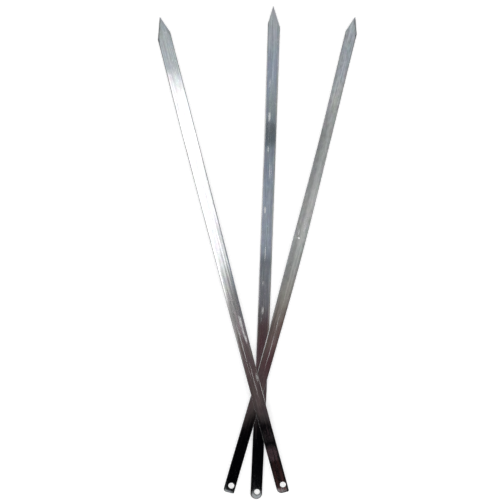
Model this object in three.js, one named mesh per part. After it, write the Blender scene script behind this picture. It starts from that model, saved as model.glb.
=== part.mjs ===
// A set of three flat kebab skewers that lie loose on one another, fanned out from near their butts.
// Units are millimetres. The skewers lie on the ground at z = 0 with +Z up. +Y runs from the butts
// towards the points, and +X is to the right as seen from above, from over the middle of the set.
// Each skewer is a single strip of stainless sheet, cut to a point at one end and drilled at the
// other with a hole to hang it by. It has no handle, and nothing pins one skewer to the next.

import * as THREE from 'three';

// Sizes that all three strips share
const skewerLength = 500;
const stripThickness = 2;
const holeDiameter = 6;
const edgeBevel = 0.3; // corners taken off all round the strip and the rim of its hole
const seatGap = 0.3; // clearance between a strip and the one that it lies on

// Steps in which the outlines are drawn
const sideSteps = 24;
const cornerSteps = 8;
const holeSteps = 48;
const bevelSteps = 2;

// What differs from strip to strip, because they are cut by hand. The over length is how much longer
// the strip is than the size that all three are meant to have. The heading is the way that the
// strip points, in degrees clockwise from +Y seen from above. Widths are those at the butt, at the
// quarters of the length and at the point. A bow is how far the centre line lies to the right of a
// straight line from end to end there. The offset of the point is to the right of that line too,
// and the offset of the hole is to the right of the centre line.
const bottomStrip = {
  name: 'bottom_skewer',
  overLength: 2,
  heading: 2.17,
  buttWidth: 11.8,
  firstQuarterWidth: 12.05,
  middleWidth: 12,
  lastQuarterWidth: 11.9,
  pointWidth: 12.3,
  firstQuarterBow: 0.75,
  middleBow: 0.75,
  lastQuarterBow: 0.6,
  pointOffset: -1.4,
  leftPointLength: 18,
  rightPointLength: 21.6,
  holeOffset: 0.8,
  holeFromButt: 7,
  leftCornerRadius: 5.6,
  rightCornerRadius: 5.6,
};

// The crossing is where the centre lines of this strip and of the one under it meet, as a distance
// from this strip's butt and as a distance from the butt of the one under it.
const secondStrip = {
  name: 'second_skewer',
  overLength: 0,
  heading: 14.96,
  buttWidth: 11.3,
  firstQuarterWidth: 11.4,
  middleWidth: 13,
  lastQuarterWidth: 11.3,
  pointWidth: 11.7,
  firstQuarterBow: 2.85,
  middleBow: 3.6,
  lastQuarterBow: 2.45,
  pointOffset: -0.1,
  leftPointLength: 16.6,
  rightPointLength: 16.8,
  holeOffset: 0.95,
  holeFromButt: 7.2,
  leftCornerRadius: 3,
  rightCornerRadius: 1.3,
  liesOn: bottomStrip,
  crossingFromButt: 119,
  crossingFromButtBelow: 122,
};

const topStrip = {
  name: 'top_skewer',
  overLength: -1.2,
  heading: -14.68,
  buttWidth: 11.8,
  firstQuarterWidth: 12,
  middleWidth: 13.4,
  lastQuarterWidth: 14.2,
  pointWidth: 13.9,
  firstQuarterBow: -0.9,
  middleBow: -0.7,
  lastQuarterBow: -0.6,
  pointOffset: 0.65,
  leftPointLength: 22.3,
  rightPointLength: 17.8,
  holeOffset: 1.45,
  holeFromButt: 8,
  leftCornerRadius: 5,
  rightCornerRadius: 1.4,
  liesOn: secondStrip,
  crossingFromButt: 102.6,
  crossingFromButtBelow: 103.5,
};

function lengthOf(strip) {
  return skewerLength + strip.overLength;
}

// A size at a share of a strip's length, smooth through sizes that are given at equal steps along it
function smoothThrough(sizes, share) {
  const points = sizes.map((size, step) => new THREE.Vector2(size, step));
  return new THREE.SplineCurve(points).getPoint(share).x;
}

// Sideways place of a strip's centre line at a distance from its butt
function centreAt(strip, fromButt) {
  const bows = [0, strip.firstQuarterBow, strip.middleBow, strip.lastQuarterBow, 0];
  return smoothThrough(bows, fromButt / lengthOf(strip));
}

// Half of a strip's width at a distance from its butt
function halfWidthAt(strip, fromButt) {
  const widths = [
    strip.buttWidth,
    strip.firstQuarterWidth,
    strip.middleWidth,
    strip.lastQuarterWidth,
    strip.pointWidth,
  ];
  return smoothThrough(widths, fromButt / lengthOf(strip)) / 2;
}

// One long side from its butt corner to its shoulder; side is 1 on the right and -1 on the left
function longSide(strip, side, cornerRadius, pointLength) {
  const shoulder = lengthOf(strip) - pointLength;
  const points = [];
  for (let step = 1; step <= sideSteps; step += 1) {
    const fromButt = THREE.MathUtils.lerp(cornerRadius, shoulder, step / sideSteps);
    points.push(new THREE.Vector2(side * halfWidthAt(strip, fromButt), fromButt));
  }
  return points;
}

// One rounded corner of the butt, from the cut end up to the long side
function buttCorner(strip, side, cornerRadius) {
  const centreX = halfWidthAt(strip, cornerRadius) - cornerRadius;
  const points = [];
  for (let step = 0; step <= cornerSteps; step += 1) {
    const angle = (Math.PI / 2) * (step / cornerSteps);
    const x = centreX + cornerRadius * Math.sin(angle);
    points.push(new THREE.Vector2(side * x, cornerRadius * (1 - Math.cos(angle))));
  }
  return points;
}

// A corner is never rounder than the half width that carries it
function limitedRadius(strip, radius) {
  return Math.min(radius, strip.buttWidth / 2 - edgeBevel);
}

// The strip's outline, anticlockwise from the right-hand corner of the butt, with its hole
function stripShape(strip) {
  const leftRadius = limitedRadius(strip, strip.leftCornerRadius);
  const rightRadius = limitedRadius(strip, strip.rightCornerRadius);
  const straight = [
    ...buttCorner(strip, 1, rightRadius),
    ...longSide(strip, 1, rightRadius, strip.rightPointLength),
    new THREE.Vector2(strip.pointOffset, lengthOf(strip)),
    ...longSide(strip, -1, leftRadius, strip.leftPointLength).reverse(),
    ...buttCorner(strip, -1, leftRadius).reverse(),
  ];
  const bowed = straight.map((point) => new THREE.Vector2(point.x + centreAt(strip, point.y), point.y));
  const shape = new THREE.Shape(bowed);
  const hole = new THREE.Path();
  const holeX = strip.holeOffset + centreAt(strip, strip.holeFromButt);
  hole.absarc(holeX, strip.holeFromButt, holeDiameter / 2, 0, 2 * Math.PI, true);
  shape.holes.push(hole);
  return shape;
}

// The solid strip, with its underside on the local plane z = 0
function stripGeometry(strip) {
  const geometry = new THREE.ExtrudeGeometry(stripShape(strip), {
    depth: stripThickness - 2 * edgeBevel,
    bevelThickness: edgeBevel,
    bevelSize: edgeBevel,
    bevelOffset: -edgeBevel,
    bevelSegments: bevelSteps,
    curveSegments: holeSteps / 2,
  });
  geometry.translate(0, 0, edgeBevel);
  return geometry;
}

// Cold-rolled stainless steel with a worn polish
function stainlessSteel() {
  return new THREE.MeshStandardMaterial({ color: '#9b9c9e', roughness: 0.28, metalness: 1 });
}

function makeStrip(strip) {
  const mesh = new THREE.Mesh(stripGeometry(strip), stainlessSteel());
  mesh.name = strip.name;
  return mesh;
}

// Turns a strip to its heading, with its underside square to the given normal
function turnStrip(mesh, strip, normal) {
  const heading = THREE.MathUtils.degToRad(strip.heading);
  const along = new THREE.Vector3(Math.sin(heading), Math.cos(heading), 0);
  along.projectOnPlane(normal).normalize();
  const across = new THREE.Vector3().crossVectors(along, normal);
  mesh.quaternion.setFromRotationMatrix(new THREE.Matrix4().makeBasis(across, along, normal));
}

// Moves a turned strip so that its crossing is over the crossing of the strip below
function moveToCrossing(mesh, strip, below) {
  const own = new THREE.Vector3(centreAt(strip, strip.crossingFromButt), strip.crossingFromButt, 0);
  const other = strip.liesOn;
  const otherX = centreAt(other, strip.crossingFromButtBelow);
  const target = below.localToWorld(new THREE.Vector3(otherX, strip.crossingFromButtBelow, 0));
  mesh.position.copy(target).sub(own.applyQuaternion(mesh.quaternion));
  mesh.position.z = 0;
  mesh.updateMatrixWorld(true);
}

// A point on the top edge of the strip below, raised by the seat gap
function edgePointBelow(strip, below, side, fromButt) {
  const other = strip.liesOn;
  const x = centreAt(other, fromButt) + side * halfWidthAt(other, fromButt);
  return below.localToWorld(new THREE.Vector3(x, fromButt, stripThickness + seatGap));
}

// A strip that lies on another has its point on the ground and leans on the nearer top edge of the
// one below. Its underside is the plane through that point and that edge.
function leanStrip(mesh, strip, below) {
  const up = new THREE.Vector3(0, 0, 1);
  turnStrip(mesh, strip, up);
  moveToCrossing(mesh, strip, below);
  const side = Math.sign(strip.heading - strip.liesOn.heading);
  const reach = halfWidthAt(strip, strip.crossingFromButt);
  const near = edgePointBelow(strip, below, side, strip.crossingFromButtBelow + reach);
  const far = edgePointBelow(strip, below, side, strip.crossingFromButtBelow - reach);
  const point = mesh.localToWorld(new THREE.Vector3(strip.pointOffset, lengthOf(strip), 0));
  const normal = new THREE.Vector3().crossVectors(near.clone().sub(far), point.sub(far)).normalize();
  normal.multiplyScalar(Math.sign(normal.z));
  turnStrip(mesh, strip, normal);
  moveToCrossing(mesh, strip, below);
  mesh.position.z -= new THREE.Box3().setFromObject(mesh, true).min.z;
  mesh.updateMatrixWorld(true);
}

const bottomSkewer = makeStrip(bottomStrip);
turnStrip(bottomSkewer, bottomStrip, new THREE.Vector3(0, 0, 1));
bottomSkewer.updateMatrixWorld(true);

const secondSkewer = makeStrip(secondStrip);
leanStrip(secondSkewer, secondStrip, bottomSkewer);

const topSkewer = makeStrip(topStrip);
leanStrip(topSkewer, topStrip, secondSkewer);

// The origin is on the ground under the middle of the set
const skewerSet = new THREE.Group();
skewerSet.add(bottomSkewer, secondSkewer, topSkewer);
const middle = new THREE.Box3().setFromObject(skewerSet, true).getCenter(new THREE.Vector3());
skewerSet.position.set(-middle.x, -middle.y, 0);
skewerSet.updateMatrixWorld(true);

export default skewerSet;
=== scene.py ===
# Three flat kebab skewers of worn, polished stainless steel that lie loose on one another in a fan.
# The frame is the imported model's own: metres, the ground at z = 0, +Z up, +Y from the butts towards
# the points, +X to the right as seen from above. Each skewer is remade as a fine mesh from its own
# packed outline, with worn edges, a ground point, a deburred hole and the slight bends of hand work,
# and gets a procedural steel that follows the strip.

import math
from dataclasses import dataclass, field

import bmesh
import bpy
import numpy as np
from mathutils import Matrix, Vector
from mathutils.geometry import delaunay_2d_cdt


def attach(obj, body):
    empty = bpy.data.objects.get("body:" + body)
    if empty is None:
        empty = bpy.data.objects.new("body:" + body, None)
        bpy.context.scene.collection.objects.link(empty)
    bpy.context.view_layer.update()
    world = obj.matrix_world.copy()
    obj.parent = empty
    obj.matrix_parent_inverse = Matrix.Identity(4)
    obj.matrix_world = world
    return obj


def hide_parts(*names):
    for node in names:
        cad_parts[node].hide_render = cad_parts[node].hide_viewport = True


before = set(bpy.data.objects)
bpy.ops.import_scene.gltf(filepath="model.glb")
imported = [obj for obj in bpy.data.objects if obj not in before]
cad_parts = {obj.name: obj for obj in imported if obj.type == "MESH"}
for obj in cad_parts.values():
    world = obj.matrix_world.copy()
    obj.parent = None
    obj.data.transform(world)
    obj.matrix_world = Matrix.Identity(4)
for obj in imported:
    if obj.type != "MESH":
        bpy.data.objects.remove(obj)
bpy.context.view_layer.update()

MM = 0.001

# Edges of a strip, each a shoulder and then a small corner. The drops are how deep they get.
EDGE_WIDTH = 0.4 * MM  # the worn shoulder of the long sides, which steepens all the way
EDGE_DROP = 0.1 * MM
HOLE_WIDTH = 0.2 * MM  # the deburred rim of the hole, which is made in the same way
HOLE_DROP = 0.05 * MM
GROUND_WIDTH = 1.6 * MM  # the shallow bevel ground along both edges of the point
GROUND_DROP = 0.04 * MM
GROUND_FADE = 5 * MM  # length in which that bevel runs out along the side of the strip
CORNER_RADIUS = 0.06 * MM
CORNER_TILT = math.radians(27)  # where the shoulder passes into the corner
CROWN_WIDTH = 1.6 * MM  # the face falls away towards its long sides over this width
CROWN_DROP = 0.022 * MM
CAMBER = 0.009 * MM  # the middle of the face stands this much higher than its sides
SUPPORT_WIDTH = 0.2 * MM  # flat margin inside the rounding, which keeps the shading crisp

# Steps of the mesh
EDGE_STEP = 2 * MM
STATION_STEP = 2 * MM
SHOULDER_STEPS = 4
CORNER_STEPS = 4
COLUMN_SHARES = (-0.9, -0.72, -0.48, -0.24, 0, 0.24, 0.48, 0.72, 0.9)  # -1 is left, 1 is right
SIDE_CLEARANCE = EDGE_STEP / 6  # points of the flat face keep this far from the long sides
HOLE_CLEARANCE = STATION_STEP / 3  # and this far from the hole's rim
INSIDE_ONLY = 1  # keeps the triangles that lie inside the edges given
SHARP_ANGLE = math.radians(32)  # two faces that meet at more than this show a sharp edge

# Bends that the whole sheet has: waves, as (length, greatest slope in radians), and twists about
# its own length, as (length, greatest turn in radians)
WAVES = ((96 * MM, 0.001), (41 * MM, 0.001), (23 * MM, 0.0008))
TWISTS = ((130 * MM, 0.001), (57 * MM, 0.001))
TWIST_PHASE = 2.5  # shifts the twists along the strip against the waves
BEND_STATIONS = 500  # places along a strip where its slopes are summed

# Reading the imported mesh
WELD = 1e-6  # points nearer than this are one point
WALL_COSINE = 0.02  # a face whose normal rises less than this belongs to an upright wall

# The camera, straight above the fan
PHOTO_PIXELS = 500
PIXEL_SIZE = 1.0171 * MM  # what a pixel spans on the strips
AIM = Vector((-7.5 * MM, 2.4 * MM, 2 * MM))
SENSOR_WIDTH = 36  # this and the lens are in millimetres, as a camera has them
LENS = 60

# The floor
FLOOR_SIZE = 30
FLOOR_COLOUR = (0.86, 0.86, 0.86, 1)
FLOOR_GLOW = 0.35  # light that it gives off to the camera and to shiny surfaces


@dataclass
class Look:
    """What is particular to one skewer: the body that carries it, its bends, wear, marks and painted
    highlights.
    """

    body: str
    bends: tuple
    butt_wear: tuple
    marks_and_highlights: tuple
    seed: float  # sets which waves and which patches of noise it gets
    mottle: float  # how far the tone of the steel wanders in small patches


@dataclass
class Strip:
    """A packed skewer in its own axes: x across, y along from the butt, z up from its underside."""

    name: str
    matrix: Matrix
    thickness: float
    outline: np.ndarray
    hole: np.ndarray
    length: float = field(init=False)

    def __post_init__(self):
        self.length = float(self.outline[:, 1].max())


# Marks on the top faces, as (kind, distance from the butt, place across, half length, half width,
# strength). Some entries are painted highlights, not marks: matt white that stands in for light
# caught by an edge or a nick.
BOTTOM_MARKS = (
    ("oil", 406 * MM, 1 * MM, 20 * MM, 5 * MM, 0.5),
    ("heat", 144 * MM, -1 * MM, 18 * MM, 6 * MM, 1.0),
    ("rust", 158 * MM, 0 * MM, 18 * MM, 5 * MM, 0.14),
    ("smear", 142 * MM, 0 * MM, 12 * MM, 7 * MM, 0.35),
    ("smear", 186 * MM, -3.4 * MM, 8 * MM, 3 * MM, 0.7),
    ("smear", 240 * MM, 0 * MM, 8 * MM, 7 * MM, 0.5),
    ("smear", 372 * MM, 0 * MM, 12 * MM, 7 * MM, 0.3),
    ("scuff", 182 * MM, -2.6 * MM, 3 * MM, 0.7 * MM, 0.3),
    ("scuff", 192 * MM, -1.8 * MM, 4 * MM, 1.2 * MM, 0.45),
    ("scuff", 219 * MM, -1.8 * MM, 2.6 * MM, 0.7 * MM, 0.4),
    ("scuff", 250 * MM, -1 * MM, 7 * MM, 0.5 * MM, 0.4),
    ("scuff", 294 * MM, -2.6 * MM, 3 * MM, 0.9 * MM, 0.65),
    ("scuff", 332 * MM, 0.4 * MM, 9 * MM, 0.35 * MM, 0.35),
    ("scuff", 334 * MM, 2 * MM, 7 * MM, 0.5 * MM, 0.25),
    ("scuff", 356 * MM, -2.2 * MM, 3.2 * MM, 1.1 * MM, 0.28),
    ("scuff", 389 * MM, -1.7 * MM, 3.4 * MM, 1.2 * MM, 0.25),
    ("scuff", 424 * MM, -2.6 * MM, 4 * MM, 1.2 * MM, 0.2),
)
SECOND_MARKS_AND_HIGHLIGHTS = (
    ("heat", 138 * MM, 2 * MM, 16 * MM, 4 * MM, 0.6),
    ("rust", 150 * MM, 4.8 * MM, 34 * MM, 1.2 * MM, 0.12),
    ("oil", 200 * MM, 0 * MM, 16 * MM, 6 * MM, 0.4),
    ("smear", 172 * MM, -4.4 * MM, 34 * MM, 2.2 * MM, 0.8),
    ("smear", 300 * MM, -4.2 * MM, 100 * MM, 4 * MM, 0.45),
    ("smear", 374 * MM, -2 * MM, 7 * MM, 3 * MM, 0.5),
    ("bright", 300 * MM, 1.6 * MM, 105 * MM, 2.2 * MM, 0.4),
    ("bright", 225 * MM, 0.8 * MM, 30 * MM, 0.8 * MM, 0.8),
    ("scuff", 160 * MM, 0.6 * MM, 30 * MM, 0.3 * MM, 0.4),
    ("scuff", 267 * MM, -0.8 * MM, 0.7 * MM, 2.2 * MM, 0.6),
    # painted highlight: a white dot for the glint of the nick beside it
    ("painted_highlight", 267.5 * MM, -1 * MM, 0.9 * MM, 0.9 * MM, 0.8),
    ("scuff", 273 * MM, -2.4 * MM, 3 * MM, 0.8 * MM, 0.35),
    ("scuff", 279 * MM, 2.2 * MM, 3 * MM, 0.9 * MM, 0.7),
    ("scuff", 284 * MM, 1.2 * MM, 3 * MM, 0.6 * MM, 0.5),
    ("scuff", 289 * MM, 1.8 * MM, 1.6 * MM, 0.7 * MM, 0.6),
    ("scuff", 317 * MM, 1.6 * MM, 2.4 * MM, 0.8 * MM, 0.4),
    # painted highlight: a white line for light caught by the left edge where this skewer lies over
    # the bottom one
    ("painted_highlight", 152 * MM, -5.9 * MM, 24 * MM, 0.4 * MM, 0.75),
)
TOP_MARKS_AND_HIGHLIGHTS = (
    ("rust", 14.5 * MM, 0 * MM, 12 * MM, 8 * MM, 1.0),
    ("rust", 28 * MM, 0.5 * MM, 8 * MM, 4.5 * MM, 0.75),
    ("stain", 41.5 * MM, -0.8 * MM, 7 * MM, 4.8 * MM, 1.0),
    ("rust", 130 * MM, 1 * MM, 40 * MM, 4 * MM, 0.12),
    ("stain", 60 * MM, 0 * MM, 7 * MM, 4.5 * MM, 0.32),
    ("heat", 180 * MM, 0 * MM, 26 * MM, 7 * MM, 0.4),
    ("scuff", 118 * MM, 0.5 * MM, 16 * MM, 0.3 * MM, 0.3),
    ("scuff", 119 * MM, 4 * MM, 4.5 * MM, 0.9 * MM, 0.65),
    ("scuff", 150 * MM, -1.6 * MM, 24 * MM, 0.25 * MM, 0.5),
    ("scuff", 160 * MM, 3.2 * MM, 4 * MM, 0.9 * MM, 0.4),
    ("scuff", 168 * MM, 2.4 * MM, 6 * MM, 0.9 * MM, 0.45),
    ("scuff", 177 * MM, 2.6 * MM, 5 * MM, 1.2 * MM, 0.8),
    ("scuff", 176 * MM, -2.4 * MM, 20 * MM, 0.25 * MM, 0.6),
    ("smear", 183 * MM, -4.2 * MM, 19 * MM, 2.8 * MM, 1.0),
    ("smear", 196 * MM, -1.4 * MM, 7 * MM, 6 * MM, 0.8),
    # painted highlight: a white line for light caught by the right edge where this skewer lies over
    # the second one
    ("painted_highlight", 108 * MM, 6.1 * MM, 15 * MM, 0.4 * MM, 1.0),
)

# How the top faces fall away towards the butt, as (length that is worn, how deep it gets)
BOTTOM_BUTT_WEAR = (12 * MM, 0.13 * MM)
SECOND_BUTT_WEAR = (3 * MM, 0.04 * MM)
TOP_BUTT_WEAR = (8 * MM, 0.16 * MM)

# Slopes of a face along its strip, as (distance from the butt, slope in radians)
UNBENT = ()
TOP_BENDS = ((46 * MM, 0.01), (80 * MM, 0.01), (96 * MM, 0))

LOOKS = {
    "bottom_skewer": Look("bottom", UNBENT, BOTTOM_BUTT_WEAR, BOTTOM_MARKS, seed=3.1, mottle=0.3),
    "second_skewer": Look("second", UNBENT, SECOND_BUTT_WEAR, SECOND_MARKS_AND_HIGHLIGHTS, seed=11.7, mottle=0.8),
    "top_skewer": Look("top", TOP_BENDS, TOP_BUTT_WEAR, TOP_MARKS_AND_HIGHLIGHTS, seed=23.3, mottle=0.4),
}


# Reading a packed skewer


def walk_loops(edges):
    """Closed chains of vertices from a list of bmesh edges."""
    beside = {}
    for edge in edges:
        first, second = edge.verts
        beside.setdefault(first, []).append(second)
        beside.setdefault(second, []).append(first)
    loops = []
    while beside:
        start = next(iter(beside))
        loop = [start]
        following = beside.pop(start)[0]
        while following is not start:
            loop.append(following)
            ahead = beside.pop(following)
            following = ahead[0] if ahead[1] is loop[-2] else ahead[1]
        loops.append(loop)
    return loops


def wound(points, way):
    """The closed loop, turned so that it runs anticlockwise for 1 and clockwise for -1."""
    after = np.roll(points, -1, axis=0)
    area = np.sum(points[:, 0] * after[:, 1] - after[:, 0] * points[:, 1]) / 2
    return points if area * way > 0 else points[::-1]


def upper_rims(packed, up, middle_height):
    """The closed loops of points where the top face meets the walls."""
    rim = []
    for edge in packed.edges:
        upright = [abs(face.normal.dot(up)) < WALL_COSINE for face in edge.link_faces]
        middle = (edge.verts[0].co + edge.verts[1].co) / 2
        if any(upright) and not all(upright) and middle.dot(up) > middle_height:
            rim.append(edge)
    return [[vertex.co.copy() for vertex in loop] for loop in walk_loops(rim)]


def strip_matrix(outline, hole, up, underside):
    """The strip's own axes: across, along from the butt to the point, and up from its underside."""
    hole_centre = sum(hole, Vector()) / len(hole)
    tip = max(outline, key=lambda point: (point - hole_centre).length)
    along = tip - hole_centre
    along = (along - along.dot(up) * up).normalized()
    across = along.cross(up)
    butt = min((point - hole_centre).dot(along) for point in outline)
    origin = hole_centre + butt * along
    origin += (underside - origin.dot(up)) * up
    matrix = Matrix((across, along, up)).transposed().to_4x4()
    matrix.translation = origin
    return matrix


def read_strip(name):
    """The outline, hole, thickness and place of a packed skewer."""
    packed = bmesh.new()
    packed.from_mesh(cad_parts[name].data)
    bmesh.ops.remove_doubles(packed, verts=packed.verts, dist=WELD)
    packed.normal_update()
    upward = [face for face in packed.faces if face.normal.z > 0]
    up = max(upward, key=lambda face: face.calc_area()).normal.normalized()
    heights = [vertex.co.dot(up) for vertex in packed.verts]
    underside = min(heights)
    thickness = max(heights) - underside
    hole, outline = sorted(upper_rims(packed, up, underside + thickness / 2), key=len)
    packed.free()
    matrix = strip_matrix(outline, hole, up, underside)
    inverse = matrix.inverted()
    outline, hole = [np.array([(inverse @ point)[:2] for point in loop]) for loop in (outline, hole)]
    return Strip(name, matrix, thickness, wound(outline, 1), wound(hole, -1))


# Making the fine mesh


def smooth_step(value):
    """0 up to 0 and 1 from 1 on, with a smooth rise between them."""
    value = np.clip(value, 0, 1)
    return value * value * (3 - 2 * value)


def inward_mitres(points):
    """For each corner, the way to move it so that both of its sides move inwards by one unit."""
    tangents = np.roll(points, -1, axis=0) - points
    tangents /= np.linalg.norm(tangents, axis=1)[:, None]
    normals = np.stack([-tangents[:, 1], tangents[:, 0]], axis=1)
    before = np.roll(normals, 1, axis=0)
    return (before + normals) / (1 + np.sum(before * normals, axis=1))[:, None]


def refine(points):
    """The loop with its sides divided, and the inward way at each of its points."""
    mitres = inward_mitres(points)
    fine_points = []
    fine_mitres = []
    for here in range(len(points)):
        after = (here + 1) % len(points)
        count = max(1, round(float(np.linalg.norm(points[after] - points[here])) / EDGE_STEP))
        for step in range(count):
            share = step / count
            fine_points.append(points[here] * (1 - share) + points[after] * share)
            fine_mitres.append(mitres[here] * (1 - share) + mitres[after] * share)
    return np.array(fine_points), np.array(fine_mitres)


def ground_share(strip, points):
    """1 along the two edges of the point, falling to 0 a little way down the long sides."""
    corners = strip.outline
    tip = int(np.argmax(corners[:, 1]))
    shares = np.zeros(len(points))
    for shoulder, side in ((corners[tip - 1], 1), (corners[(tip + 1) % len(corners)], -1)):
        on_side = side * (points[:, 0] - corners[tip, 0]) > 0
        past = (shoulder[1] - points[:, 1]) / GROUND_FADE
        shares = np.where(on_side, 1 - smooth_step(past), shares)
    shares[np.argmax(points[:, 1])] = 1
    return shares


def edge_rings(width, drop, ground):
    """Inset and depth of each ring of the edge, from the flat face out to the upright wall."""
    width = width + ground * (GROUND_WIDTH - width)
    rings = [(CORNER_RADIUS + width + SUPPORT_WIDTH, np.zeros_like(ground))]
    for step in range(SHOULDER_STEPS + 1):
        share = step / SHOULDER_STEPS
        worn = drop * share**2
        bevel = GROUND_DROP * share
        rings.append((CORNER_RADIUS + width * (1 - share), worn + ground * (bevel - worn)))
    foot = drop + ground * (GROUND_DROP - drop)
    reach = CORNER_RADIUS / (1 - math.sin(CORNER_TILT))
    for step in range(1, CORNER_STEPS + 1):
        tilt = CORNER_TILT + step / CORNER_STEPS * (math.pi / 2 - CORNER_TILT)
        inset = np.full_like(ground, reach * (1 - math.sin(tilt)))
        rings.append((inset, foot + reach * (math.cos(CORNER_TILT) - math.cos(tilt))))
    return rings


def side_limits(loop, station):
    """Left and right edge of a closed loop at each distance from the butt."""
    top = int(np.argmax(loop[:, 1]))
    turned = np.roll(loop, -top, axis=0)
    bottom = int(np.argmin(turned[:, 1]))
    left = turned[: bottom + 1][::-1]
    right = np.vstack([turned[bottom:], turned[:1]])
    return np.interp(station, left[:, 1], left[:, 0]), np.interp(station, right[:, 1], right[:, 0])


def inner_points(outer_loop, hole_loop):
    """Points of the flat face in rows across the strip, clear of its edges and of the hole."""
    low, high = outer_loop[:, 1].min(), outer_loop[:, 1].max()
    stations = np.arange(low + STATION_STEP, high, STATION_STEP)
    left, right = side_limits(outer_loop, stations)
    hole_centre = hole_loop.mean(axis=0)
    hole_reach = np.linalg.norm(hole_loop - hole_centre, axis=1).max() + HOLE_CLEARANCE
    points = []
    for station, start, end in zip(stations, left, right):
        for share in COLUMN_SHARES:
            point = np.array([start + (end - start) * (1 + share) / 2, station])
            close = (1 - abs(share)) * (end - start) / 2 < SIDE_CLEARANCE
            if not close and np.linalg.norm(point - hole_centre) > hole_reach:
                points.append(point)
    return np.array(points)


def edge_distance(strip, points):
    """Distance from each point to the strip's long sides, measured across the strip."""
    left, right = side_limits(strip.outline, points[:, 1])
    return np.minimum(points[:, 0] - left, right - points[:, 0])


def bend_lift(look, strip, points):
    """Height that the bends and the slight waves of the sheet add at each point."""
    places = np.linspace(0, strip.length, BEND_STATIONS)
    knots = [*look.bends, (strip.length, 0)]
    slopes = np.interp(places, [place for place, _ in knots], [slope for _, slope in knots])
    heights = np.concatenate([[0], np.cumsum((slopes[1:] + slopes[:-1]) / 2 * np.diff(places))])
    lift = np.interp(points[:, 1], places, heights - heights[-1])
    for wave, (length, slope) in enumerate(WAVES):
        turn = 2 * math.pi / length
        phase = look.seed * (wave + 1)
        lift += slope / turn * np.sin(points[:, 1] * turn + phase)
    for wave, (length, slope) in enumerate(TWISTS):
        phase = look.seed * (wave + TWIST_PHASE)
        lift += slope * points[:, 0] * np.sin(points[:, 1] * 2 * math.pi / length + phase)
    return lift


def crown_drop(strip, points):
    """How far the face has fallen towards the nearer long side."""
    distance = edge_distance(strip, points)
    near = np.clip(1 - distance / CROWN_WIDTH, 0, 1)
    off_centre = np.clip(1 - distance / distance.max(), 0, 1)
    return CROWN_DROP * near**2 + CAMBER * off_centre**2


def butt_drop(look, points):
    """How far the top face is worn away towards the butt."""
    length, depth = look.butt_wear
    near = np.clip(1 - points[:, 1] / length, 0, 1)
    return depth * near**2


def flat_face(outer_loop, hole_loop):
    """Triangles between the outer loop and the hole, over the loops' points and the inner ones."""
    rows = inner_points(outer_loop, hole_loop)
    points = np.vstack([outer_loop, hole_loop, rows])
    outer_count, hole_count = len(outer_loop), len(hole_loop)
    edges = [(here, (here + 1) % outer_count) for here in range(outer_count)]
    for here in range(hole_count):
        edges.append((outer_count + here, outer_count + (here + 1) % hole_count))
    coords = [Vector(point) for point in points]
    made, _, triangles, origins, _, _ = delaunay_2d_cdt(coords, edges, [], INSIDE_ONLY, WELD)
    if len(made) != len(points):
        raise ValueError("the flat face lost or gained points")
    on_hole = range(outer_count, outer_count + hole_count)
    kept = []
    for triangle in triangles:
        corners = tuple(origins[corner][0] for corner in triangle)
        if not all(corner in on_hole for corner in corners):
            kept.append(corners)
    return points, kept


class Sheet:
    """The points and faces of a strip, gathered row by row."""

    def __init__(self):
        self.flats = []
        self.heights = []
        self.faces = []
        self.count = 0

    def add_points(self, flat, height):
        """Adds points at the heights given, and returns their numbers."""
        numbers = np.arange(self.count, self.count + len(flat))
        self.flats.append(flat)
        self.heights.append(height)
        self.count += len(flat)
        return numbers

    def add_wall(self, upper, lower):
        """Adds the faces between two closed rows of points."""
        for here in range(len(upper)):
            after = (here + 1) % len(upper)
            self.faces.append((upper[here], lower[here], lower[after], upper[after]))


def flat_sheet(strip):
    """The strip before it is bent: its top face, its underside and the walls between them."""
    outer_points, outer_mitres = refine(strip.outline)
    hole_points, hole_mitres = refine(strip.hole)
    ground = ground_share(strip, outer_points)
    unground = np.zeros(len(hole_points))
    edges = (
        (outer_points, outer_mitres, edge_rings(EDGE_WIDTH, EDGE_DROP, ground)),
        (hole_points, hole_mitres, edge_rings(HOLE_WIDTH, HOLE_DROP, unground)),
    )
    inner_loops = [points + mitres * rings[0][0][:, None] for points, mitres, rings in edges]
    face_points, triangles = flat_face(*inner_loops)

    sheet = Sheet()
    top = sheet.add_points(face_points, np.full(len(face_points), strip.thickness))
    bottom = sheet.add_points(face_points, np.zeros(len(face_points)))
    sheet.faces += [[top[corner] for corner in triangle] for triangle in triangles]
    sheet.faces += [[bottom[corner] for corner in reversed(triangle)] for triangle in triangles]
    start = 0
    for points, mitres, rings in edges:
        loop = slice(start, start + len(points))
        rows = [top[loop]]
        for inset, depth in rings[1:]:
            rows.append(sheet.add_points(points + mitres * inset[:, None], strip.thickness - depth))
        for inset, depth in reversed(rings[1:]):
            rows.append(sheet.add_points(points + mitres * inset[:, None], depth))
        rows.append(bottom[loop])
        for upper, lower in zip(rows, rows[1:]):
            sheet.add_wall(upper, lower)
        start += len(points)
    return sheet


def make_strip_mesh(strip, look):
    """The fine mesh of a skewer, in the frame's own axes."""
    sheet = flat_sheet(strip)
    flat = np.vstack(sheet.flats)
    height = np.concatenate(sheet.heights)
    crown = crown_drop(strip, flat)
    worn = butt_drop(look, flat)
    height -= np.where(height > strip.thickness / 2, crown + worn, -crown)
    height += bend_lift(look, strip, flat)
    mesh = bpy.data.meshes.new(strip.name + "_steel")
    faces = [[int(corner) for corner in face] for face in sheet.faces]
    mesh.from_pydata(np.column_stack([flat, height]).tolist(), [], faces)
    mesh.transform(strip.matrix)
    finish_mesh(mesh)
    return mesh


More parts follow.
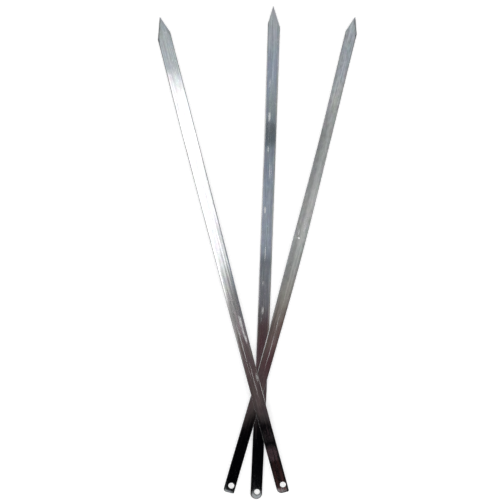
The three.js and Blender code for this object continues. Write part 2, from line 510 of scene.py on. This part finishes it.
def finish_mesh(mesh):
    """Stands the mesh on or above the ground and shades it smooth, but for its sharp corners."""
    work = bmesh.new()
    work.from_mesh(mesh)
    sunk = min(0, min(vertex.co.z for vertex in work.verts))
    bmesh.ops.translate(work, verts=work.verts, vec=(0, 0, -sunk))
    bmesh.ops.recalc_face_normals(work, faces=work.faces)
    for face in work.faces:
        face.smooth = True
    for edge in work.edges:
        edge.smooth = edge.calc_face_angle(0) < SHARP_ANGLE
    work.to_mesh(mesh)
    work.free()


# Building materials


# Sockets of a Mix node that mixes colours
FIRST_COLOUR, SECOND_COLOUR, MIXED_COLOUR = 6, 7, 2


@dataclass
class Noise:
    """A layer of noise, whose patches are longer along the strip than across it."""

    slimness: float  # the width of a patch as a share of its length
    scale: float  # patches to a metre, across the strip
    detail: float = 2.0
    roughness: float = 0.5


class Nodes:
    """A short way to write a node tree."""

    def __init__(self, tree):
        self.tree = tree
        tree.nodes.clear()

    def add(self, kind, **settings):
        node = self.tree.nodes.new(kind)
        for name, value in settings.items():
            setattr(node, name, value)
        return node

    def put(self, value, socket):
        """Links another node's output to the socket, or sets the socket's own value."""
        if isinstance(value, bpy.types.NodeSocket):
            self.tree.links.new(value, socket)
        else:
            socket.default_value = value

    def math(self, operation, *values, clamp=False):
        node = self.add("ShaderNodeMath", operation=operation, use_clamp=clamp)
        for value, socket in zip(values, node.inputs):
            self.put(value, socket)
        return node.outputs[0]

    def vector(self, operation, *values):
        node = self.add("ShaderNodeVectorMath", operation=operation)
        for value, socket in zip(values, node.inputs):
            self.put(value, socket)
        return node.outputs["Value"] if operation in ("LENGTH", "DOT_PRODUCT") else node.outputs[0]

    def combine(self, *values):
        node = self.add("ShaderNodeCombineXYZ")
        for value, socket in zip(values, node.inputs):
            self.put(value, socket)
        return node.outputs[0]

    def remap(self, value, low, high, new_low=0.0, new_high=1.0, smooth=False):
        node = self.add("ShaderNodeMapRange")
        node.interpolation_type = "SMOOTHSTEP" if smooth else "LINEAR"
        for number, socket in zip((value, low, high, new_low, new_high), node.inputs):
            self.put(number, socket)
        return node.outputs[0]

    def mix(self, share, first, second):
        node = self.add("ShaderNodeMix", data_type="RGBA")
        self.put(share, node.inputs["Factor"])
        self.put(first, node.inputs[FIRST_COLOUR])
        self.put(second, node.inputs[SECOND_COLOUR])
        return node.outputs[MIXED_COLOUR]

    def noise(self, place, layer):
        """The value and the colour of a layer of noise at the place."""
        node = self.add("ShaderNodeTexNoise")
        self.put(self.vector("MULTIPLY", place, (1, layer.slimness, 1)), node.inputs["Vector"])
        self.put(layer.scale, node.inputs["Scale"])
        self.put(layer.detail, node.inputs["Detail"])
        self.put(layer.roughness, node.inputs["Roughness"])
        return node.outputs[0], node.outputs[1]

    def ramp(self, value, stops):
        """A colour ramp from 0 to 1, with its stops written as (place, colour)."""
        node = self.add("ShaderNodeValToRGB")
        elements = node.color_ramp.elements
        for place, _ in stops[1:-1]:
            elements.new(place)
        for element, (place, colour) in zip(elements, stops):
            element.position = place
            element.color = (*colour, 1)
        self.put(value, node.inputs[0])
        return node.outputs[0]

    def ellipse(self, place, centre, reach, softness):
        """1 inside an ellipse about the centre, falling to 0 across its edge."""
        offset = self.vector("SUBTRACT", place, (*centre, 0))
        scaled = self.vector("DIVIDE", offset, (*reach, 1))
        distance = self.vector("LENGTH", scaled)
        return self.remap(distance, 1 - softness, 1 + softness, 1.0, 0.0, smooth=True)


# The steel
DULL_STEEL = (0.47, 0.47, 0.475, 1)
BRIGHT_STEEL = (0.70, 0.70, 0.71, 1)
# Kinds of mark and of painted highlight, as (colour, how metallic it stays, roughness that it adds)
MARK_AND_HIGHLIGHT_KINDS = {
    "scratch": ((0.80, 0.80, 0.79, 1), 1.0, 0.05),
    "smear": ((0.35, 0.345, 0.34, 1), 1.0, 0.05),
    "bright": ((0.80, 0.80, 0.79, 1), 1.0, 0.02),
    "oil": ((0.56, 0.60, 0.52, 1), 1.0, 0.05),
    "heat": ((0.50, 0.36, 0.42, 1), 1.0, 0.03),
    "rust": ((0.32, 0.155, 0.15, 1), 0.9, 0.05),
    "stain": ((0.48, 0.32, 0.36, 1), 0.9, 0.05),
    "scuff": ((0.80, 0.80, 0.80, 1), 0.55, 0.35),
    # painted highlight: matt white, not metal, that stands in for light caught by edges and nicks
    "painted_highlight": ((0.95, 0.95, 0.95, 1), 0.0, 0.4),
    "drilled": ((0.22, 0.21, 0.20, 1), 1.0, 0.35),
    "sheared": ((0.30, 0.30, 0.31, 1), 1.0, 0.25),
}
STREAKED = ("rust", "stain", "heat", "oil", "smear", "scuff")  # these marks follow the grain
COLOUR_LEADS = 2.0  # a mark that dulls the metal shows its colour this many times sooner
MARK_SOFTNESS = 0.6  # a mark fades over this share of its reach, inside its outline and outside
MARKED_HEIGHT = (0.5 * MM, 1.5 * MM)  # marks begin and are whole this far above the underside
RAGGED = Noise(0.35, 260, detail=1.0)  # makes the edges of the marks ragged
RAGGED_REACH = (1.6 * MM, 5 * MM, 0)  # how far they wander, across and along
NOISE_MIDDLE = (0.5, 0.5, 0.5)
DRILLED_RIM = HOLE_WIDTH / 2  # how far the drilled look reaches past the hole's wall
SHEARED_COSINES = (0.35, 0.15)  # the sides look sheared where their normals rise less than this
BOW_STATIONS = 40  # places along a strip where its centre line is read
BOW_DEGREE = 3  # of the curve that follows it
# Layers of noise in the sheet: three of its grain, then patches
BROAD_GRAIN = Noise(0.004, 380, detail=1.0)
ROLLED_GRAIN = Noise(0.03, 800, detail=3.0, roughness=0.6)
FINE_GRAIN = Noise(0.012, 4200)
CLOUD = Noise(0.25, 120, detail=4.0)
SPECKLE = Noise(0.4, 700, detail=3.0)
HUE_PATCHES = Noise(0.5, 210, detail=3.0)
TONE_PATCHES = Noise(0.45, 430)
HUE_WANDER = 0.26  # how far the hue of the steel wanders
# What the noise turns into, as (low noise, high noise, value at the low, value at the high)
BRIGHTNESS = (0.3, 0.7, 0.0, 1.0)
STREAKS = (0.56, 0.72, 0.0, 0.8)
FLECKS = (0.62, 0.74, 0.0, 0.8)
STREAKING = (0.43, 0.57, 0.3, 1.4)  # strength of the marks that follow the grain
CLOUDY_ROUGHNESS = (0.35, 0.7, 0.03, 0.06)
FINE_ROUGHNESS = (0.35, 0.65, 0.0, 0.015)
# How much of each grain the relief has, and how deep it is
BROAD_RELIEF = 1.4
ROLLED_RELIEF = 0.6
FINE_RELIEF = 0.2
RELIEF_DEPTH = 0.01 * MM


def strip_place(nodes, strip):
    """Coordinates in the strip's own axes, in metres, with x counted from its bowed centre line."""
    place = nodes.add("ShaderNodeTexCoord").outputs["Object"]
    inverse = strip.matrix.inverted()
    mapping = nodes.add("ShaderNodeMapping", vector_type="POINT")
    mapping.inputs["Location"].default_value = inverse.translation
    mapping.inputs["Rotation"].default_value = inverse.to_euler()
    nodes.put(place, mapping.inputs["Vector"])
    split = nodes.add("ShaderNodeSeparateXYZ")
    nodes.put(mapping.outputs[0], split.inputs[0])
    stations = np.linspace(0, strip.length, BOW_STATIONS)[1:-1]
    left, right = side_limits(strip.outline, stations)
    centre = 0.0
    for factor in np.polyfit(stations, (left + right) / 2, BOW_DEGREE):
        centre = nodes.math("MULTIPLY_ADD", centre, split.outputs[1], float(factor))
    across = nodes.math("SUBTRACT", split.outputs[0], centre)
    return nodes.combine(across, split.outputs[1], split.outputs[2])


def mark_and_highlight_masks(nodes, place, look):
    """Where the strip's marks and painted highlights of each kind lie on its top face, from 0 to 1;
    the marks have ragged edges.
    """
    split = nodes.add("ShaderNodeSeparateXYZ")
    nodes.put(place, split.inputs[0])
    top_side = nodes.remap(split.outputs[2], *MARKED_HEIGHT)
    flat = nodes.combine(split.outputs[0], split.outputs[1], 0.0)
    _, wander = nodes.noise(nodes.vector("ADD", flat, (look.seed, 0, 0)), RAGGED)
    wander = nodes.vector("MULTIPLY", nodes.vector("SUBTRACT", wander, NOISE_MIDDLE), RAGGED_REACH)
    ragged = nodes.vector("ADD", flat, wander)
    masks = {}
    for kind, along, across, half_length, half_width, strength in look.marks_and_highlights:
        # painted highlights keep clean outlines, the other marks get ragged ones
        outline = flat if kind == "painted_highlight" else ragged
        mask = nodes.ellipse(outline, (across, along), (half_width, half_length), MARK_SOFTNESS)
        mask = nodes.math("MULTIPLY", nodes.math("MULTIPLY", mask, strength), top_side)
        masks[kind] = nodes.math("MAXIMUM", masks[kind], mask) if kind in masks else mask
    return masks


def cut_masks(nodes, place, strip):
    """Where the metal was drilled and where it was sheared, from 0 to 1."""
    centre = strip.hole.mean(axis=0)
    radius = float(np.linalg.norm(strip.hole - centre, axis=1).mean())
    left, right = side_limits(strip.outline, centre[1])
    centre[0] -= (left + right) / 2
    flat = nodes.vector("MULTIPLY", place, (1, 1, 0))
    from_hole = nodes.vector("LENGTH", nodes.vector("SUBTRACT", flat, (*centre, 0)))
    drilled = nodes.remap(from_hole, radius, radius + DRILLED_RIM, 1.0, 0.0)
    facing = nodes.add("ShaderNodeTexCoord").outputs["Normal"]
    up = tuple(strip.matrix.col[2][:3])
    rise = nodes.math("ABSOLUTE", nodes.vector("DOT_PRODUCT", facing, up))
    sheared = nodes.remap(rise, *SHEARED_COSINES)
    return {"sheared": sheared, "drilled": drilled}


def bare_colour(nodes, shifted, rolled, mottle):
    """The colour of the unmarked sheet: its grain, with small shifts of hue and of tone."""
    grain = nodes.mix(nodes.remap(rolled, *BRIGHTNESS), DULL_STEEL, BRIGHT_STEEL)
    _, hue = nodes.noise(shifted, HUE_PATCHES)
    hue = nodes.vector("MULTIPLY_ADD", hue, (HUE_WANDER,) * 3, (1 - HUE_WANDER / 2,) * 3)
    colour = nodes.vector("MULTIPLY", grain, hue)
    tone, _ = nodes.noise(shifted, TONE_PATCHES)
    tone = nodes.math("MULTIPLY_ADD", tone, mottle, 1 - mottle / 2)
    return nodes.vector("MULTIPLY", colour, nodes.combine(tone, tone, tone))


def bare_roughness(nodes, shifted, fine):
    """The roughness of the unmarked sheet."""
    cloud, _ = nodes.noise(shifted, CLOUD)
    rough = nodes.remap(cloud, *CLOUDY_ROUGHNESS)
    return nodes.math("ADD", rough, nodes.remap(fine, *FINE_ROUGHNESS))


def lay_mark_or_highlight(nodes, kind, mask, colour, rough, metal):
    """The colour, roughness and metal of the sheet with one kind of mark or painted highlight laid
    over it.
    """
    kind_colour, kind_metal, kind_rough = MARK_AND_HIGHLIGHT_KINDS[kind]
    coloured = nodes.math("MULTIPLY", mask, COLOUR_LEADS, clamp=True) if kind_metal < 1 else mask
    colour = nodes.mix(coloured, colour, kind_colour)
    rough = nodes.math("ADD", rough, nodes.math("MULTIPLY", mask, kind_rough))
    lost = nodes.math("MULTIPLY", mask, 1 - kind_metal)
    metal = nodes.math("SUBTRACT", metal, lost, clamp=True)
    return colour, rough, metal


def relief(nodes, broad, rolled, fine):
    """The normal of the sheet with the relief of its grain."""
    height = nodes.math("MULTIPLY", broad, BROAD_RELIEF)
    height = nodes.math("ADD", height, nodes.math("MULTIPLY", rolled, ROLLED_RELIEF))
    height = nodes.math("ADD", height, nodes.math("MULTIPLY", fine, FINE_RELIEF))
    bump = nodes.add("ShaderNodeBump")
    nodes.put(1, bump.inputs["Strength"])
    nodes.put(RELIEF_DEPTH, bump.inputs["Distance"])
    nodes.put(height, bump.inputs["Height"])
    return bump.outputs[0]


def steel(strip, look):
    """Worn polished stainless sheet, with its grain along the strip, and its marks and matt white
    painted highlights laid over it.
    """
    material = bpy.data.materials.new(strip.name + "_steel")
    material.use_nodes = True
    nodes = Nodes(material.node_tree)
    place = strip_place(nodes, strip)
    shifted = nodes.vector("ADD", place, (look.seed, look.seed, 0))
    broad, _ = nodes.noise(shifted, BROAD_GRAIN)
    rolled, _ = nodes.noise(shifted, ROLLED_GRAIN)
    fine, _ = nodes.noise(shifted, FINE_GRAIN)
    speckle, _ = nodes.noise(shifted, SPECKLE)
    scratches = nodes.math("MAXIMUM", nodes.remap(rolled, *STREAKS), nodes.remap(speckle, *FLECKS))
    masks = {"scratch": scratches}
    masks.update(mark_and_highlight_masks(nodes, place, look))
    masks.update(cut_masks(nodes, place, strip))

    colour = bare_colour(nodes, shifted, rolled, look.mottle)
    rough = bare_roughness(nodes, shifted, fine)
    metal = 1.0
    streaking = nodes.remap(rolled, *STREAKING)
    for kind, mask in masks.items():
        if kind in STREAKED:
            mask = nodes.math("MULTIPLY", mask, streaking, clamp=True)
        colour, rough, metal = lay_mark_or_highlight(nodes, kind, mask, colour, rough, metal)

    shader = nodes.add("ShaderNodeBsdfPrincipled")
    nodes.put(metal, shader.inputs["Metallic"])
    nodes.put(colour, shader.inputs["Base Color"])
    nodes.put(rough, shader.inputs["Roughness"])
    nodes.put(relief(nodes, broad, rolled, fine), shader.inputs["Normal"])
    output = nodes.add("ShaderNodeOutputMaterial")
    nodes.put(shader.outputs[0], output.inputs["Surface"])
    return material


def make_skewer(name, look):
    """Puts the fine mesh, with its steel, in the place of a packed skewer."""
    strip = read_strip(name)
    mesh = make_strip_mesh(strip, look)
    mesh.materials.append(steel(strip, look))
    piece = bpy.data.objects.new(name + "_steel", mesh)
    bpy.context.scene.collection.objects.link(piece)
    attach(piece, look.body)
    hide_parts(name)


# The studio


def make_floor():
    """A plain pale floor, which keeps the shadows."""
    half = FLOOR_SIZE / 2
    mesh = bpy.data.meshes.new("floor")
    corners = [(-half, -half, 0), (half, -half, 0), (half, half, 0), (-half, half, 0)]
    mesh.from_pydata(corners, [], [(0, 1, 2, 3)])
    floor = bpy.data.objects.new("floor", mesh)
    bpy.context.scene.collection.objects.link(floor)
    material = bpy.data.materials.new("floor")
    material.use_nodes = True
    nodes = Nodes(material.node_tree)
    path = nodes.add("ShaderNodeLightPath").outputs
    seen = nodes.math("MAXIMUM", path["Is Camera Ray"], path["Is Glossy Ray"])
    seen = nodes.math("MAXIMUM", seen, path["Is Transmission Ray"])
    glow = nodes.add("ShaderNodeEmission")
    nodes.put(nodes.math("MULTIPLY", seen, FLOOR_GLOW), glow.inputs["Strength"])
    paint = nodes.add("ShaderNodeBsdfDiffuse")
    paint.inputs["Color"].default_value = FLOOR_COLOUR
    both = nodes.add("ShaderNodeAddShader")
    nodes.put(glow.outputs[0], both.inputs[0])
    nodes.put(paint.outputs[0], both.inputs[1])
    output = nodes.add("ShaderNodeOutputMaterial")
    nodes.put(both.outputs[0], output.inputs["Surface"])
    mesh.materials.append(material)


# The room overhead, as the steel sees it. A lean is how far a direction leans from straight up, as
# a slope: to the right along +X, to the back along +Y. An edge is written as (the lean where a
# thing begins to show, the lean where it is whole).
LOWEST_LOOK = 0.05  # directions that rise less than this lean as if they rose this much
# The ceiling, with its colours at shares of the way from front to back
CEILING_FRONT, CEILING_BACK = -0.2, 0.3
CEILING_COLOURS_AT_SHARES = (
    (0.0, (0.12, 0.095, 0.09)),
    (0.13, (0.115, 0.07, 0.075)),
    (0.17, (0.2, 0.14, 0.135)),
    (0.22, (0.21, 0.165, 0.145)),
    (0.27, (0.40, 0.37, 0.35)),
    (0.36, (0.41, 0.43, 0.42)),
    (0.42, (0.6, 0.61, 0.6)),
    (0.52, (0.55, 0.565, 0.56)),
    (0.64, (0.44, 0.465, 0.46)),
    (0.70, (0.50, 0.515, 0.51)),
    (0.73, (0.51, 0.525, 0.52)),
    (0.76, (0.61, 0.63, 0.62)),
    (0.81, (0.54, 0.575, 0.61)),
    (0.86, (0.495, 0.543, 0.584)),
    (1.0, (0.53, 0.565, 0.59)),
)
# A narrow part of the ceiling is dimmer, and bluer further back
MIDDLE_TINT = (0.72, 0.80, 0.96, 1)
FRONT_TINT = (0.76, 0.79, 0.85, 1)
TINT_TURN = (-0.14, -0.06)  # from the front tint to the other
MIDDLE_FROM_LEFT = (-0.04, -0.02)
MIDDLE_TO_RIGHT = (0.055, 0.04)
MIDDLE_TO_BACK = (0.26, 0.2)
# Things overhead, as (centre, reach, softness, strength, colour)
OVERHEAD = (
    ((0.03, 0.139), (0.1, 0.0155), 0.12, 1.0, (0.17, 0.205, 0.23, 1)),  # a boom
    ((0.02, 0.166), (0.06, 0.015), 0.6, 0.35, (0.20, 0.23, 0.23, 1)),  # its rope
    ((-0.005, -0.045), (0.04, 0.033), 0.3, 0.65, (0.20, 0.20, 0.21, 1)),  # the camera's arm
    ((0.016, -0.111), (0.019, 0.043), 0.12, 0.95, (0.115, 0.075, 0.08, 1)),  # the camera
    ((-0.014, -0.15), (0.02, 0.022), 0.5, 0.6, (0.165, 0.14, 0.13, 1)),  # a tripod's foot
    ((-0.125, 0.252), (0.05, 0.034), 0.5, 0.9, (0.74, 0.82, 0.85, 1)),  # a pale panel
    ((-0.27, 0.02), (0.1, 0.3), 0.15, 0.9, (0.05, 0.05, 0.05, 1)),  # a drape past the softbox
)
# Dark cloth in front, and what is beyond it
DARK_CLOTH_EDGE = (-0.189, -0.208)
DARK_CLOTH_END = (-0.8, -0.9)
DARK_CLOTH = (0.001, 0.001, 0.002, 1)
# A gap in the cloth, as (centre, reach, softness, strength, colour)
CLOTH_GAP = ((0.008, -0.344), (0.036, 0.034), 0.45, 1.0, (0.55, 0.58, 0.59, 1))
BEYOND_CLOTH = (0.34, 0.35, 0.35, 1)
# A softbox on the left, and a flap that hangs along its slanted right edge
SOFTBOX_LIGHT = (2.0, 2.0, 2.02, 1)
SOFTBOX_SLANT = -0.13
SOFTBOX_RIGHT_EDGE = (-0.041, -0.075)
SOFTBOX_BACK_EDGE = (0.245, 0.205)
SOFTBOX_FRONT_EDGE = (-0.16, -0.04)
SOFTBOX_LEFT_EDGE = (-0.175, -0.135)
FLAP = (0.55, 0.575, 0.56, 1)
FLAP_EDGE = (-0.0365, -0.039)
# Round the ceiling the room is dark, then it opens to walls with a pale horizon
CEILING_EDGE = (0.36, 0.42)
RING_COLOUR = (0.05, 0.05, 0.05, 1)
RING_EDGE = (1.3, 1.7)
FRONT_WALL = (0.30, 0.29, 0.28, 1)
BACK_WALL = (0.55, 0.56, 0.57, 1)
WALL_TURN = (-0.1, 0.22)  # from the front wall to the back one, as the Y of a level direction
HORIZON = (0.12, 0.26)  # from the horizon to the walls, as the Z of a direction
HORIZON_COLOUR = (0.72, 0.73, 0.74, 1)
WHITE = (1.0, 1.0, 1.0, 1)
PLAIN_LIGHT = (0.95, 0.95, 0.95, 1)  # the even soft light that matt surfaces get


def between(nodes, value, edge):
    """0 at the first value of the edge and 1 at the second, whichever is greater."""
    return nodes.remap(value, *edge)


def hang(nodes, lean, behind, thing):
    """The room behind with an oval thing in front of it."""
    centre, reach, softness, strength, colour = thing
    mask = nodes.ellipse(lean, centre, reach, softness)
    return nodes.mix(nodes.math("MULTIPLY", mask, strength), behind, colour)


def ceiling(nodes, right, back, lean):
    """The ceiling, with what hangs from it and the dark cloth in front."""
    shown = nodes.ramp(nodes.remap(back, CEILING_FRONT, CEILING_BACK), CEILING_COLOURS_AT_SHARES)
    middle = between(nodes, right, MIDDLE_FROM_LEFT)
    middle = nodes.math("MULTIPLY", middle, between(nodes, right, MIDDLE_TO_RIGHT))
    middle = nodes.math("MULTIPLY", middle, between(nodes, back, MIDDLE_TO_BACK))
    tint = nodes.mix(between(nodes, back, TINT_TURN), FRONT_TINT, MIDDLE_TINT)
    shown = nodes.vector("MULTIPLY", shown, nodes.mix(middle, WHITE, tint))
    for thing in OVERHEAD:
        shown = hang(nodes, lean, shown, thing)
    cloth = hang(nodes, lean, DARK_CLOTH, CLOTH_GAP)
    shown = nodes.mix(between(nodes, back, DARK_CLOTH_EDGE), shown, cloth)
    return nodes.mix(between(nodes, back, DARK_CLOTH_END), shown, BEYOND_CLOTH)


def softbox_masks(nodes, right, back):
    """Where the softbox and the flap along its right edge are seen, from 0 to 1."""
    turned = nodes.math("ADD", right, nodes.math("MULTIPLY", back, SOFTBOX_SLANT))
    softbox = between(nodes, turned, SOFTBOX_RIGHT_EDGE)
    flap = between(nodes, turned, FLAP_EDGE)
    for edge in (SOFTBOX_BACK_EDGE, SOFTBOX_FRONT_EDGE):
        end = between(nodes, back, edge)
        softbox = nodes.math("MULTIPLY", softbox, end)
        flap = nodes.math("MULTIPLY", flap, end)
    softbox = nodes.math("MULTIPLY", softbox, between(nodes, right, SOFTBOX_LEFT_EDGE))
    return softbox, flap


def walls(nodes, split):
    """The walls and the horizon, from the parts of a direction."""
    facing = nodes.vector("NORMALIZE", nodes.combine(split.outputs["X"], split.outputs["Y"], 0.0))
    facing_split = nodes.add("ShaderNodeSeparateXYZ")
    nodes.put(facing, facing_split.inputs[0])
    shown = nodes.mix(between(nodes, facing_split.outputs["Y"], WALL_TURN), FRONT_WALL, BACK_WALL)
    return nodes.mix(between(nodes, split.outputs["Z"], HORIZON), HORIZON_COLOUR, shown)


def make_room():
    """The world: white to the camera, even light to matt surfaces and the studio to the steel."""
    world = bpy.data.worlds.new("room")
    bpy.context.scene.world = world
    world.use_nodes = True
    nodes = Nodes(world.node_tree)
    direction = nodes.add("ShaderNodeTexCoord").outputs["Generated"]
    split = nodes.add("ShaderNodeSeparateXYZ")
    nodes.put(direction, split.inputs[0])
    height = nodes.math("MAXIMUM", split.outputs["Z"], LOWEST_LOOK)
    right = nodes.math("DIVIDE", split.outputs["X"], height)
    back = nodes.math("DIVIDE", split.outputs["Y"], height)
    lean = nodes.combine(right, back, 0.0)
    off_centre = nodes.vector("LENGTH", lean)

    softbox, flap = softbox_masks(nodes, right, back)
    shown = nodes.mix(flap, ceiling(nodes, right, back, lean), FLAP)
    around = nodes.mix(between(nodes, off_centre, RING_EDGE), RING_COLOUR, walls(nodes, split))
    shown = nodes.mix(between(nodes, off_centre, CEILING_EDGE), shown, around)
    shown = nodes.mix(softbox, shown, SOFTBOX_LIGHT)

    path = nodes.add("ShaderNodeLightPath").outputs
    background = nodes.add("ShaderNodeBackground")
    lit = nodes.mix(path["Is Diffuse Ray"], shown, PLAIN_LIGHT)
    nodes.put(nodes.mix(path["Is Camera Ray"], lit, WHITE), background.inputs["Color"])
    output = nodes.add("ShaderNodeOutputWorld")
    nodes.put(background.outputs[0], output.inputs["Surface"])


def make_camera():
    """Looks straight down, from as high as gives a pixel its size on the strips."""
    data = bpy.data.cameras.new("camera")
    data.sensor_width = SENSOR_WIDTH
    data.lens = LENS
    camera = bpy.data.objects.new("camera", data)
    distance = PHOTO_PIXELS * PIXEL_SIZE * LENS / SENSOR_WIDTH
    camera.location = AIM + Vector((0, 0, distance))
    bpy.context.scene.collection.objects.link(camera)
    bpy.context.scene.camera = camera


make_camera()
make_room()
make_floor()
for skewer_name, skewer_look in LOOKS.items():
    make_skewer(skewer_name, skewer_look)

bpy.context.scene.view_settings.view_transform = "Standard"
